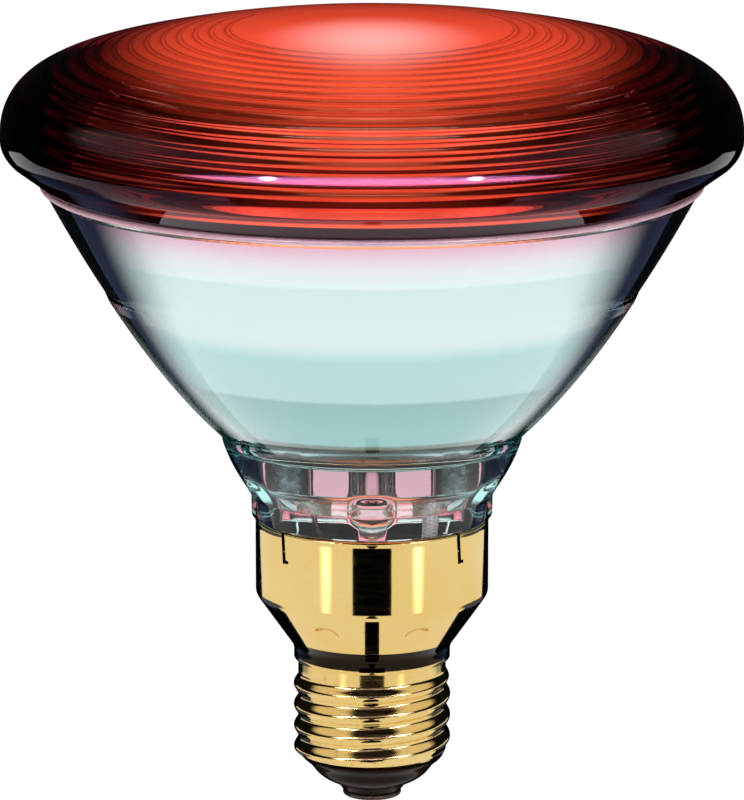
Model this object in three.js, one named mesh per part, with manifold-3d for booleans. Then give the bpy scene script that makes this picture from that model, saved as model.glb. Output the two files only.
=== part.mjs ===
// Sealed infrared reflector lamp: red pressed-glass lens, clear pressed-glass bowl with a mirror film inside,
// and a skirted brass E27 screw cap. Millimetres, +Z up. The lamp's axis is the Z axis, the lens is at the
// top, and the origin is the lowest point, the flat of the solder pip that meets a holder's centre contact.
// Pieces that touch on the real lamp keep a gap of 0.3 mm, so that each stays a solid of its own.

import * as THREE from 'three';
import { mergeVertices } from 'three/addons/utils/BufferGeometryUtils.js';
import Module from 'manifold-3d';

const wasm = await Module();
wasm.setup();

const GAP = 0.3;
const ROUND = 36;

// Front lens
const LENS_RADIUS = 61;
const LENS_TOP = 132.1;
const DOME_RADIUS = 206;
const DOME_EDGE = 44.7;
const LENS_THICK = 4.2;
const WALL_TOP = 112.9;
const RIM_ROUND = 4.5;
const RIM_TURN = 48;
const SHOULDER_HANDLE = 9.1;
const LENS_FOOT = 105.5;
const FOOT_OUTER = 54.6;
const FOOT_INNER = 50.8;
const RIB_COUNT = 11;
const RIB_FIRST = 22.8;
const RIB_PITCH = 2.6;
const RIB_DEPTH = 0.7;
const RIB_STEP = 0.4;
const WALL_INSIDE = [[53.2, 118.6], [54, 114], [52.8, 109]];

// Seal between the lens and the bowl
const SEAL_THICK = 0.5;
const SEAL_TOP = LENS_FOOT - GAP;

// Reflector bowl: the outside is two paraboloids that meet at a small step
const BOWL_TOP = SEAL_TOP - SEAL_THICK - GAP;
const UPPER_FOCUS = 14.16;
const UPPER_VERTEX = 53.1;
const LOWER_FOCUS = 13.66;
const LOWER_VERTEX = 51.28;
const STEP_Z = 86.9;
const LIP_Z = 62.8;
const NECK_TOP = 61.5;
const NECK_TOP_RADIUS = 24.8;
const NECK_FOOT = 52.6;
const NECK_RADIUS = 20;
const SHOULDER_Z = 48.7;
const SPIGOT_RADIUS = 18.7;
const SPIGOT_END = 41;
const SPIGOT_CHAMFER = 0.5;
const NECK_BORE = 16.4;
const BORE_CHAMFER = 1.6;
const FLARE = [[21.2, 54.2], [23.6, 57.6]];
const INNER_FOCUS = 12.77;
const INNER_VERTEX = 54.17;
const FLOOR_TOP = 61;
const FLOOR_THICK = 4;
const FLOOR_UNDER = FLOOR_TOP - FLOOR_THICK;

// Rounded lugs round the foot of the flare
const LUG_ANGLES = [0, 60, 120, 180, 240, 300];
const LUG_Z = 54.2;
const LUG_RADIUS = 20.2;
const LUG_HALF = [1.7, 3.4, 2.6];

// Mirror film on the inside of the bowl
const MIRROR_LOW = 64.3;
const MIRROR_HIGH = 104;
const MIRROR_THICK = 0.3;
const MIRROR_GAP = 0.4;

// Exhaust tip
const TIP_RADIUS = 2.7;
const TIP_WALL = 0.9;
const TIP_END = 49.8;

// Ferrules and posts
const POST_X = 9.5;
const FERRULE_RADIUS = 3;
const FERRULE_WALL = 0.4;
const FERRULE_TOP = 62.4;
const FERRULE_END = 53.5;
const POST_RADIUS = 0.54;
const POST_HOLE = 0.9;
const POST_FOOT = FERRULE_TOP + GAP;
const SIDES = [['left', -1], ['right', 1]];

// Filament: a coil laid on half a circle between the posts
const ARC_RADIUS = 9.5;
const ARC_Z = 69;
const COIL_RADIUS = 1;
const COIL_WIRE = 0.2;
const COIL_TURNS = 16;
const COIL_TRIM = 0.16;

// Glass bridge and the wire hooks that hold the coil up
const BRIDGE_Z = 65.2;
const BRIDGE_RADIUS = 1.7;
const BRIDGE_HALF = 11.6;
const HOOK_WIRE = 0.2;
const HOOK_LOOP = 1.65;
const HOOKS = [['left', -45, -3.5], ['middle', 0, 0], ['right', 45, 3.5]];

// Brass skirt
const SKIRT_RADIUS = 19.4;
const SKIRT_WALL = 0.4;
const SKIRT_TOP = 48.4;
const BEAD_HEIGHT = 0.9;
const BEAD_OUT = 0.15;
const CORNER_Z = 36.2;
const CORNER_ROUND = 2.2;
const CONE_ANGLE = 55;
const COLLAR_RADIUS = 13.05;
const COLLAR_END = 24.2;
const SLIT_ANGLES = [-138, -42, 42, 138];
const SLIT_WIDTH = 0.8;
const SLIT_END = 43.3;
const DIMPLE_ANGLES = [-153, -27, 27, 153];
const DIMPLE_Z = 31.8;
const DIMPLE_HALF = [0.2, 2, 1.65];

// Screw shell, E27: right-hand thread
const PITCH = 25.4 / 7;
const CREST = 13.13;
const VALLEY = 12.35;
const FIRST_CREST = 6.86;
const SHELL_END = 8;
const THREAD_TOP = 22.4;
const SHELL_TOP = 28;
const SHELL_BORE = 11.95;
const SHELL_ROUND = 28;
const SHELL_ROWS = 24;
const FADE = 2;

// Insulator, contact and solder
const INSULATOR_RADIUS = 12.2;
const INSULATOR_TOP = 12.5;
const WIRE_HOLE = 1.4;
const CONTACT_RADIUS = 4.9;
const CONTACT_LOW = 0.25;
const CONTACT_HIGH = 1.1;
const EYELET_HOLE = 2.6;
const PIP_FLAT = 1.4;
const SIDE_SOLDER_Z = 25.1;
const SIDE_SOLDER_RADIUS = 1.2;

// Lead wires and their sleeves
const LEAD_RADIUS = 0.45;
const LEAD_TOP = FERRULE_TOP - FERRULE_WALL - GAP;
const LEAD_HOLE = LEAD_RADIUS + GAP;
const SLEEVE_WALL = 0.6;
const FUSE_SLEEVE = [13.6, 20.6];
const WOVEN_SLEEVE = [41.6, 52];

const RED_GLASS = new THREE.MeshStandardMaterial({ color: 0xc81808, roughness: 0.05, metalness: 0 });
const CLEAR_GLASS = new THREE.MeshStandardMaterial({ color: 0xbfe0dc, roughness: 0.05, metalness: 0 });
const SEAL = new THREE.MeshStandardMaterial({ color: 0x5a1414, roughness: 0.3, metalness: 0 });
const MIRROR = new THREE.MeshStandardMaterial({ color: 0xe4ecec, roughness: 0.05, metalness: 1 });
const BRASS = new THREE.MeshStandardMaterial({ color: 0xd9a93c, roughness: 0.18, metalness: 1 });
const NICKEL = new THREE.MeshStandardMaterial({ color: 0xa9a59c, roughness: 0.3, metalness: 1 });
const TUNGSTEN = new THREE.MeshStandardMaterial({ color: 0x55524e, roughness: 0.4, metalness: 1 });
const COPPER = new THREE.MeshStandardMaterial({ color: 0xb0703c, roughness: 0.35, metalness: 1 });
const DARK_GLASS = new THREE.MeshStandardMaterial({ color: 0x120c0a, roughness: 0.15, metalness: 0 });
const SLEEVING = new THREE.MeshStandardMaterial({ color: 0xd8d2c2, roughness: 0.8, metalness: 0 });
const SOLDER = new THREE.MeshStandardMaterial({ color: 0x8d8d8c, roughness: 0.35, metalness: 1 });

const radians = THREE.MathUtils.degToRad;
const paraboloid = (focus, vertex, z) => Math.sqrt(4 * focus * (z - vertex));

// count + 1 values from first to last
function spread(first, last, count) {
  return Array.from({ length: count + 1 }, (unused, i) => first + (last - first) * i / count);
}

// Points [radius, z] on an arc about [radius, z], angles in degrees from the +radius direction
function arc(centre, radius, from, to, steps) {
  return spread(from, to, steps).map((angle) => [
    centre[0] + radius * Math.cos(radians(angle)),
    centre[1] + radius * Math.sin(radians(angle)),
  ]);
}

// A profile of [radius, z] points, run anticlockwise, turned about the Z axis
function turned(profile, segments = ROUND) {
  const outline = profile.map(([radius, z]) => new THREE.Vector2(radius, z));
  return new THREE.LatheGeometry(outline, segments).rotateX(Math.PI / 2);
}

function closed(profile) {
  return [...profile, profile[0]];
}

// A round wire or rod along a curve
function wire(curve, radius, steps, sides = 6) {
  const section = new THREE.Shape(spread(0, 2 * Math.PI, sides).slice(0, -1).map(
    (angle) => new THREE.Vector2(radius * Math.cos(angle), radius * Math.sin(angle)),
  ));
  curve.arcLengthDivisions = 20 * steps;
  return new THREE.ExtrudeGeometry(section, { steps, bevelEnabled: false, extrudePath: curve });
}

function path(points) {
  const vectors = points.map((point) => new THREE.Vector3(...point));
  return new THREE.CatmullRomCurve3(vectors, false, 'catmullrom');
}

function toManifold(geometry) {
  const bare = geometry.clone();
  bare.deleteAttribute('normal');
  bare.deleteAttribute('uv');
  const merged = mergeVertices(bare, 1e-4);
  const index = merged.index.array;
  const triangles = [];
  for (let i = 0; i < index.length; i += 3) {
    const [a, b, c] = [index[i], index[i + 1], index[i + 2]];
    if (a !== b && b !== c && c !== a) {
      triangles.push(a, b, c);
    }
  }
  const vertProperties = new Float32Array(merged.attributes.position.array);
  const triVerts = new Uint32Array(triangles);
  return new wasm.Manifold(new wasm.Mesh({ numProp: 3, vertProperties, triVerts }));
}

function toGeometry(solid) {
  const mesh = solid.getMesh();
  const geometry = new THREE.BufferGeometry();
  geometry.setAttribute('position', new THREE.BufferAttribute(mesh.vertProperties, 3));
  geometry.setIndex(new THREE.BufferAttribute(mesh.triVerts, 1));
  const flat = geometry.toNonIndexed();
  flat.computeVertexNormals();
  return flat;
}

// body less every tool
function cut(body, tools) {
  return toGeometry(tools.reduce((solid, tool) => solid.subtract(toManifold(tool)), toManifold(body)));
}

// body with every extra fused on
function join(body, extras) {
  return toGeometry(extras.reduce((solid, extra) => solid.add(toManifold(extra)), toManifold(body)));
}

// A rounded pad: half sizes are [outward, across, up], lean tips its face downward, angle is from straight ahead
function pad([outward, across, up], radius, lean, z, angle) {
  return new THREE.SphereGeometry(1, 16, 10).scale(outward, across, up).rotateY(radians(lean))
    .translate(radius, 0, z).rotateZ(radians(angle - 90));
}

function rod(radius, low, high, x = 0, y = 0, sides = 14) {
  const length = high - low;
  return new THREE.CylinderGeometry(radius, radius, length, sides).rotateX(Math.PI / 2)
    .translate(x, y, low + length / 2);
}

const lamp = new THREE.Group();

function add(name, geometry, material) {
  const mesh = new THREE.Mesh(geometry, material);
  mesh.name = name;
  lamp.add(mesh);
}

function domeZ(radius, thickness = 0) {
  return LENS_TOP - DOME_RADIUS + Math.sqrt((DOME_RADIUS - thickness) ** 2 - radius ** 2);
}

// Outside of the lens, from the foot up to the middle of the dome
function lensOutside() {
  const edgeSlope = -DOME_EDGE / Math.sqrt(DOME_RADIUS ** 2 - DOME_EDGE ** 2);
  const shoulder = new THREE.CubicBezierCurve(
    new THREE.Vector2(LENS_RADIUS, WALL_TOP),
    new THREE.Vector2(LENS_RADIUS, WALL_TOP + SHOULDER_HANDLE),
    new THREE.Vector2(DOME_EDGE + SHOULDER_HANDLE, domeZ(DOME_EDGE) + edgeSlope * SHOULDER_HANDLE),
    new THREE.Vector2(DOME_EDGE, domeZ(DOME_EDGE)),
  );
  const rim = arc([LENS_RADIUS - RIM_ROUND, WALL_TOP - 0.2], RIM_ROUND, -RIM_TURN, 0, 3);
  const dome = spread(DOME_EDGE, 0, 4).slice(1).map((radius) => [radius, domeZ(radius)]);
  return [[FOOT_OUTER, LENS_FOOT], ...rim, ...shoulder.getPoints(7).map((p) => [p.x, p.y]), ...dome];
}

// Inside of the lens, from the middle of the dome out over the stepped rings and down to the foot
function lensInside() {
  const rings = [];
  for (let i = 0; i < RIB_COUNT; i += 1) {
    const radius = RIB_FIRST + i * RIB_PITCH;
    rings.push([radius, domeZ(radius, LENS_THICK)]);
    rings.push([radius + RIB_STEP, domeZ(radius, LENS_THICK) - RIB_DEPTH]);
  }
  const last = RIB_FIRST + RIB_COUNT * RIB_PITCH;
  return [
    [0, domeZ(0, LENS_THICK)],
    [RIB_FIRST / 2, domeZ(RIB_FIRST / 2, LENS_THICK)],
    ...rings,
    [last, domeZ(last, LENS_THICK)],
    ...WALL_INSIDE,
    [FOOT_INNER, LENS_FOOT],
  ];
}

function addLens() {
  add('front_lens', turned([...lensInside(), ...lensOutside()]), RED_GLASS);
}

function addSeal() {
  const low = SEAL_TOP - SEAL_THICK;
  const ring = [[FOOT_INNER + 0.2, low], [FOOT_OUTER - 0.2, low], [FOOT_OUTER - 0.2, SEAL_TOP],
    [FOOT_INNER + 0.2, SEAL_TOP]];
  add('rim_seal', turned(closed(ring)), SEAL);
}

// Outside of the bowl, from the end of its spigot up to the rim
function bowlOutside() {
  const lower = spread(LIP_Z, STEP_Z - 0.2, 5).map((z) => [paraboloid(LOWER_FOCUS, LOWER_VERTEX, z), z]);
  const upper = spread(STEP_Z, BOWL_TOP, 4).map((z) => [paraboloid(UPPER_FOCUS, UPPER_VERTEX, z), z]);
  const flare = new THREE.CubicBezierCurve(
    new THREE.Vector2(NECK_RADIUS + 0.1, NECK_FOOT),
    new THREE.Vector2(...FLARE[0]),
    new THREE.Vector2(...FLARE[1]),
    new THREE.Vector2(NECK_TOP_RADIUS, NECK_TOP),
  );
  return [
    [SPIGOT_RADIUS - SPIGOT_CHAMFER, SPIGOT_END],
    [SPIGOT_RADIUS, SPIGOT_END + SPIGOT_CHAMFER],
    [SPIGOT_RADIUS, SHOULDER_Z],
    [NECK_RADIUS, SHOULDER_Z + 0.2],
    ...flare.getPoints(4).map((p) => [p.x, p.y]),
    ...lower,
    ...upper,
  ];
}

// Inside of the bowl, from the rim down to the floor
function bowlInside() {
  const wall = spread(BOWL_TOP, FLOOR_TOP + 1, 6).map((z) => [paraboloid(INNER_FOCUS, INNER_VERTEX, z), z]);
  return [...wall, [18.6, FLOOR_TOP + 0.2], [17, FLOOR_TOP], [0, FLOOR_TOP]];
}

function addBowl() {
  const bore = [
    [0, FLOOR_UNDER],
    [NECK_BORE - BORE_CHAMFER, FLOOR_UNDER],
    [NECK_BORE, FLOOR_UNDER - BORE_CHAMFER],
    [NECK_BORE, SPIGOT_END],
  ];
  const wall = turned([...bore, ...bowlOutside(), ...bowlInside()]);
  const lugs = LUG_ANGLES.map((angle) => pad(LUG_HALF, LUG_RADIUS, 0, LUG_Z, angle));
  const holes = SIDES.map(([, side]) => (
    rod(FERRULE_RADIUS + GAP, FLOOR_UNDER - 1, FLOOR_TOP + 1, side * POST_X)));
  holes.push(rod(TIP_RADIUS + GAP, FLOOR_UNDER - 1, FLOOR_TOP + 1));
  add('reflector_bowl', cut(join(wall, lugs), holes), CLEAR_GLASS);
}

function addMirror() {
  const heights = spread(MIRROR_LOW, MIRROR_HIGH, 6);
  const inward = (depth) => (z) => [paraboloid(INNER_FOCUS, INNER_VERTEX, z) - depth, z];
  const outside = heights.map(inward(MIRROR_GAP));
  const inside = heights.map(inward(MIRROR_GAP + MIRROR_THICK)).reverse();
  add('mirror_coating', turned(closed([...outside, ...inside])), MIRROR);
}

function addTip() {
  const bore = TIP_RADIUS - TIP_WALL;
  const profile = [
    ...arc([0, TIP_END + TIP_RADIUS], TIP_RADIUS, -90, 0, 4),
    [TIP_RADIUS, FLOOR_TOP + 0.8],
    [bore, FLOOR_TOP + 0.8],
    [bore, TIP_END + TIP_RADIUS + 1],
    [0, TIP_END + TIP_RADIUS],
  ];
  add('exhaust_tip', turned(profile, 14), CLEAR_GLASS);
}

// A metal thimble let into the floor of the bowl, open at the bottom
function addFerrule(name, side) {
  const bore = FERRULE_RADIUS - FERRULE_WALL;
  const profile = [
    [0, FERRULE_TOP - FERRULE_WALL],
    [bore, FERRULE_TOP - FERRULE_WALL],
    [bore, FERRULE_END],
    [FERRULE_RADIUS, FERRULE_END],
    [FERRULE_RADIUS, FERRULE_TOP - 0.5],
    [FERRULE_RADIUS - 0.5, FERRULE_TOP],
    [0, FERRULE_TOP],
  ];
  add(`ferrule_${name}`, turned(profile, 14).translate(side * POST_X, 0, 0), NICKEL);
}

// A post: a stiff wire that rises from its ferrule and hooks over the end of the coil
function addPost(name, side) {
  const x = side * POST_X;
  const curve = path([
    [x, 0, POST_FOOT],
    [x, 0, BRIDGE_Z],
    [x, 0, ARC_Z - 1.5],
    [x, 0.5, ARC_Z + 0.6],
    [x, -0.4, ARC_Z + 1.9],
    [x, -1.4, ARC_Z + 2.1],
  ]);
  add(`lead_post_${name}`, wire(curve, POST_RADIUS, 12), NICKEL);
}

// A point on the coil's centre line, angle in degrees from straight ahead (-Y)
function onArc(angle) {
  const turn = radians(angle);
  return new THREE.Vector3(ARC_RADIUS * Math.sin(turn), -ARC_RADIUS * Math.cos(turn), ARC_Z);
}

class Coil extends THREE.Curve {
  getPoint(t, target = new THREE.Vector3()) {
    const along = 90 * (2 * t - 1) * (1 - COIL_TRIM);
    const turn = 2 * Math.PI * COIL_TURNS * t;
    const reach = ARC_RADIUS + COIL_RADIUS * Math.cos(turn);
    const a = radians(along);
    return target.set(reach * Math.sin(a), -reach * Math.cos(a), ARC_Z + COIL_RADIUS * Math.sin(turn));
  }
}

function addFilament() {
  add('filament', wire(new Coil(), COIL_WIRE, COIL_TURNS * 8, 4), TUNGSTEN);
}

// A hook: a fine wire from the bridge that ends in an open loop around the coil
function hookCurve(angle, footX) {
  const middle = onArc(angle);
  const outward = new THREE.Vector3(Math.sin(radians(angle)), -Math.cos(radians(angle)), 0);
  const loop = spread(200, -100, 8).map((turn) => {
    const point = middle.clone().addScaledVector(outward, HOOK_LOOP * Math.cos(radians(turn)));
    point.z += HOOK_LOOP * Math.sin(radians(turn));
    return point.toArray();
  });
  const near = middle.clone().addScaledVector(outward, -HOOK_LOOP - 0.6);
  return path([[footX, 0, BRIDGE_Z], [footX, -BRIDGE_RADIUS - 0.6, BRIDGE_Z + 0.4],
    [near.x, near.y, ARC_Z - 1.8], ...loop]);
}

function addHooks() {
  HOOKS.forEach(([name, angle, footX]) => {
    add(`support_hook_${name}`, wire(hookCurve(angle, footX), HOOK_WIRE, 26, 4), TUNGSTEN);
  });
}

// The bridge: a glass rod across the posts, holed for the posts and for the feet of the hooks
function addBridge() {
  const bar = new THREE.CylinderGeometry(BRIDGE_RADIUS, BRIDGE_RADIUS, 2 * BRIDGE_HALF, 12)
    .rotateZ(Math.PI / 2).translate(0, 0, BRIDGE_Z);
  const posts = SIDES.map(([, side]) => (
    rod(POST_HOLE, BRIDGE_Z - 4, BRIDGE_Z + 4, side * POST_X, 0, 10)));
  const feet = HOOKS.map(([, , footX]) => new THREE.BoxGeometry(1, 4, 1.6)
    .translate(footX, -1.4, BRIDGE_Z + 0.1));
  add('glass_bridge', cut(bar, [...posts, ...feet]), CLEAR_GLASS);
}

// Outside of the skirt from the collar's end up to the top edge, moved inward by depth
function skirtWall(depth) {
  const cone = radians(CONE_ANGLE);
  const corner = arc([SKIRT_RADIUS - CORNER_ROUND, CORNER_Z], CORNER_ROUND - depth, CONE_ANGLE - 90, 0, 3);
  const [cornerRadius, cornerZ] = corner[0];
  const collar = COLLAR_RADIUS - depth;
  const coneFoot = cornerZ - (cornerRadius - collar) * Math.tan(cone);
  const bead = depth > 0 ? [] : arc([SKIRT_RADIUS - 0.2, SKIRT_TOP - BEAD_HEIGHT / 2],
    BEAD_HEIGHT / 2, -60, 60, 3).map(([radius, z]) => [radius - 0.3 + BEAD_OUT, z]);
  return [[collar, COLLAR_END], [collar, coneFoot], ...corner, ...bead, [SKIRT_RADIUS - depth, SKIRT_TOP]];
}

// Outer radius of the skirt's cone at a height
function coneRadius(z) {
  const lean = radians(CONE_ANGLE);
  const topRadius = SKIRT_RADIUS - CORNER_ROUND + CORNER_ROUND * Math.sin(lean);
  const topZ = CORNER_Z - CORNER_ROUND * Math.cos(lean);
  return topRadius - (topZ - z) / Math.tan(lean);
}

// The small hole at the back through which the side wire comes out
function sideWireHole() {
  return new THREE.CylinderGeometry(LEAD_HOLE, LEAD_HOLE, 6, 10).translate(0, COLLAR_RADIUS, SIDE_SOLDER_Z);
}

function addSkirt() {
  const body = turned(closed([...skirtWall(0), ...skirtWall(SKIRT_WALL).reverse()]), 32);
  const height = SKIRT_TOP - SLIT_END + 2;
  const slits = SLIT_ANGLES.map((angle) => new THREE.BoxGeometry(4, SLIT_WIDTH, height)
    .translate(SKIRT_RADIUS, 0, SLIT_END + height / 2).rotateZ(radians(angle)));
  const dimples = DIMPLE_ANGLES.map((angle) => (
    pad(DIMPLE_HALF, coneRadius(DIMPLE_Z), 90 - CONE_ANGLE, DIMPLE_Z, angle)));
  add('cap_skirt', cut(body, [...slits, ...dimples, sideWireHole()]), BRASS);
}

// Outer radius of the shell at a height and an angle: a round thread that fades out at the top
function threadRadius(z, angle) {
  const turns = (z - FIRST_CREST) / PITCH - angle / (2 * Math.PI);
  const wave = 0.5 + 0.5 * Math.cos(2 * Math.PI * turns);
  const fade = THREE.MathUtils.smoothstep(THREAD_TOP - z, 0, FADE);
  return VALLEY + (CREST - VALLEY) * wave * fade;
}

// Rings of points joined into a closed skin: the threaded outside, then the plain bore
function addShell() {
  const heights = [...spread(SHELL_END, THREAD_TOP, SHELL_ROWS), SHELL_TOP];
  const rings = heights.map((z) => (angle) => [threadRadius(z, angle), z]);
  rings.push(() => [SHELL_BORE, SHELL_TOP]);
  rings.push(() => [SHELL_BORE, SHELL_END]);
  const positions = [];
  rings.forEach((ring) => {
    spread(0, 2 * Math.PI, SHELL_ROUND).slice(0, -1).forEach((angle) => {
      const [radius, z] = ring(angle);
      positions.push(radius * Math.cos(angle), radius * Math.sin(angle), z);
    });
  });
  const index = [];
  rings.forEach((ring, row) => {
    const next = (row + 1) % rings.length;
    for (let i = 0; i < SHELL_ROUND; i += 1) {
      const j = (i + 1) % SHELL_ROUND;
      const [here, above] = [row * SHELL_ROUND, next * SHELL_ROUND];
      index.push(here + i, here + j, above + j, here + i, above + j, above + i);
    }
  });
  const geometry = new THREE.BufferGeometry();
  geometry.setAttribute('position', new THREE.Float32BufferAttribute(positions, 3));
  geometry.setIndex(index);
  add('screw_shell', cut(geometry, [sideWireHole()]), BRASS);
}

function addInsulator() {
  const neck = SHELL_BORE - GAP;
  const low = CONTACT_HIGH + GAP;
  const profile = [
    [WIRE_HOLE, low],
    [5.4, low],
    [6.2, 2.2],
    [8, 3.1],
    [9.7, 5],
    [11.2, 6.6],
    [INSULATOR_RADIUS - 0.2, SHELL_END - GAP],
    [neck, SHELL_END - GAP],
    [neck, INSULATOR_TOP],
    [WIRE_HOLE + 3, INSULATOR_TOP],
    [WIRE_HOLE, INSULATOR_TOP - 3],
  ];
  add('insulator', turned(closed(profile), 28), DARK_GLASS);
}

function addContact() {
  const profile = [
    [EYELET_HOLE, CONTACT_LOW],
    [CONTACT_RADIUS - 0.5, CONTACT_LOW],
    [CONTACT_RADIUS, CONTACT_LOW + 0.4],
    [CONTACT_RADIUS, CONTACT_HIGH],
    [EYELET_HOLE, CONTACT_HIGH],
  ];
  add('centre_contact', turned(closed(profile), 24), BRASS);
}

function addPip() {
  const edge = EYELET_HOLE - GAP;
  const profile = [[0, 0], [PIP_FLAT, 0], [edge, 0.35], [edge, CONTACT_HIGH - 0.2], [0, CONTACT_HIGH - 0.2]];
  add('contact_solder', turned(profile, 20), SOLDER);
}

// The lump of solder on the collar, at the back, where the side wire comes through
function addSideSolder() {
  const lump = new THREE.SphereGeometry(SIDE_SOLDER_RADIUS, 12, 8).scale(1.4, 1, 1)
    .translate(0, COLLAR_RADIUS, 0);
  const clearance = rod(COLLAR_RADIUS + GAP, -5, 5, 0, 0, 48);
  add('side_solder', cut(lump, [clearance]).translate(0, 0, SIDE_SOLDER_Z), SOLDER);
}

// From the left ferrule down the middle of the cap to the centre contact
function addCentreWire() {
  const curve = path([
    [-POST_X, 0, LEAD_TOP],
    [-POST_X, 0, 54],
    [-POST_X, 0, 47],
    [-6.5, 0, 38],
    [-1.2, 0, 29],
    [0, 0, 22],
    [0, 0, 14],
    [0, 0, 7],
    [0, 0, CONTACT_HIGH + 0.2],
  ]);
  add('lead_wire_centre', wire(curve, LEAD_RADIUS, 22), COPPER);
}

// From the right ferrule down and round to the back, out through the side of the cap
function addSideWire() {
  const curve = path([
    [POST_X, 0, LEAD_TOP],
    [POST_X, 0, 54],
    [POST_X, 0, 47],
    [POST_X, 0, 40],
    [8.5, 3, 34],
    [3.5, 8, 28.5],
    [0.3, 10, 26],
    [0, 11.2, SIDE_SOLDER_Z],
    [0, 13, SIDE_SOLDER_Z],
  ]);
  add('lead_wire_side', wire(curve, LEAD_RADIUS, 24), COPPER);
}

// A tube around a straight stretch of lead wire
function addSleeve(name, x, [low, high], material) {
  const bore = LEAD_RADIUS + GAP;
  const outer = bore + SLEEVE_WALL;
  const ring = [[bore, low], [outer, low], [outer, high], [bore, high]];
  add(name, turned(closed(ring), 12).translate(x, 0, 0), material);
}

addLens();
addSeal();
addBowl();
addMirror();
addTip();
SIDES.forEach(([name, side]) => addFerrule(name, side));
SIDES.forEach(([name, side]) => addPost(name, side));
addFilament();
addHooks();
addBridge();
addSkirt();
addShell();
addInsulator();
addContact();
addPip();
addSideSolder();
addCentreWire();
addSideWire();
addSleeve('fuse_sleeve', 0, FUSE_SLEEVE, CLEAR_GLASS);
addSleeve('woven_sleeve', POST_X, WOVEN_SLEEVE, SLEEVING);

export default lamp;
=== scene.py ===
"""Looks of a sealed infrared reflector lamp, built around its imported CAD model.

Outlines are in millimetres and the studio is in metres, both in the model's own frame: the lamp's axis is Z,
the cap is down, the lens is up, and -Y is the front.
"""

import math

import bmesh
import bpy
from mathutils import Matrix, Vector, noise


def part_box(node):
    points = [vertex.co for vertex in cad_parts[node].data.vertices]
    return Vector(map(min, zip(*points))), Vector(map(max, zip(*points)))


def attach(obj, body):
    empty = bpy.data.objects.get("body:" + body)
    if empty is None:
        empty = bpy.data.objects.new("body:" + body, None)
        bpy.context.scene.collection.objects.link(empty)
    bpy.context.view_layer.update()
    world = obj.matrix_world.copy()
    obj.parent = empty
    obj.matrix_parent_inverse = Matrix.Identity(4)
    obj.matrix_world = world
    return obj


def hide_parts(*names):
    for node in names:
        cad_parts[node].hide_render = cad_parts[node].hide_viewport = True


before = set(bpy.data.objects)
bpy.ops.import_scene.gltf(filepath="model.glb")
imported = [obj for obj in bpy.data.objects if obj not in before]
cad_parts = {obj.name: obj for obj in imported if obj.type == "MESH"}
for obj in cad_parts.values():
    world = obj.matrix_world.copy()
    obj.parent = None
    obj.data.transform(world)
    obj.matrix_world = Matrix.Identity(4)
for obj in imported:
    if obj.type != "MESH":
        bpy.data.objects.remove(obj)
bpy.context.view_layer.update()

MM = 0.001
BODY = "root"

# Steps round a turned piece
FINE = 256
MEDIUM = 128
SMALL = 64

# Edges that bend by more than this many degrees stay crisp
CRISP = 35


# ---------------------------------------------------------------------------------------------------------
# Sizes: some are read from the model, the others are its driving dimensions


def box_mm(node):
    """The low and high corner of a CAD node's box."""
    low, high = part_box(node)
    return low / MM, high / MM


lens_low, lens_high = box_mm("front_lens")
bowl_low, bowl_high = box_mm("reflector_bowl")
tip_low, tip_high = box_mm("exhaust_tip")
ferrule_low, ferrule_high = box_mm("ferrule_right")
post_low, post_high = box_mm("lead_post_right")
coil_low, coil_high = box_mm("filament")
bridge_low, bridge_high = box_mm("glass_bridge")
skirt_low, skirt_high = box_mm("cap_skirt")
shell_low, shell_high = box_mm("screw_shell")
insulator_low, insulator_high = box_mm("insulator")
contact_low, contact_high = box_mm("centre_contact")
pip_high = box_mm("contact_solder")[1]
solder_low, solder_high = box_mm("side_solder")
fuse_low, fuse_high = box_mm("fuse_sleeve")
woven_low, woven_high = box_mm("woven_sleeve")

# Pieces that are sealed together stay this far apart
FIT = 0.02

# Front lens
LENS_RADIUS = lens_high.x
LENS_TOP = lens_high.z
LENS_FOOT = lens_low.z
DOME_RADIUS = 206.0
DOME_EDGE = 44.7
LENS_THICK = 4.2
WALL_TOP = LENS_FOOT + 7.4
SHOULDER_HANDLE = 9.1
RIM_ROUND = 4.5
RIM_TURN = 48
FOOT_OUTER = 54.6
FOOT_INNER = 50.8
FOOT_ROUND = 0.4

# Painted shade on the lens, an opaque dark red coat: its inner wall up to this height, inside this radius,
# and the foot's flat
SHADE_HEIGHT = 3.2
SHADE_REACH = 53.4
SHADE_FOOT_HEIGHT = 0.1

# Rings inside the lens. The shape of one ring: share of the pitch, share of the depth
RIB_COUNT = 11
RIB_FIRST = 22.8
RIB_PITCH = 2.6
RIB_DEPTH = 0.7
RIB_SHAPE = (
    (0.0, 0.0),
    (0.05, 0.12),
    (0.12, 0.55),
    (0.18, 0.94),
    (0.24, 1.0),
    (0.45, 0.78),
    (0.7, 0.42),
    (0.9, 0.1),
)
RIB_STEEP = 0.3
WALL_INSIDE = ((53.2, 118.9), (54.9, 114.0), (52.8, 109.0))
WALL_RIB = 0.35
WALL_RIB_COUNT = 7
WALL_RIB_STEPS = 8

# Frost and a painted glow on the inner face, both fading out towards an edge. The painted glow is emission in
# the glass itself: it is squeezed across, stretched front to back and shifted to the front, where the
# filament hangs. It is weaker on the rings' steps
FROST_EDGE = 46.0
FROST_FADE = 8.0
GLOW_EDGE = 52.0
GLOW_FADE = 20.0
GLOW_SQUEEZE = (1.15, 0.95)
GLOW_SHIFT = 3.0
GLOW_STRENGTH = 1.9
GLOW_ON_STEP = 0.55

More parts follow.
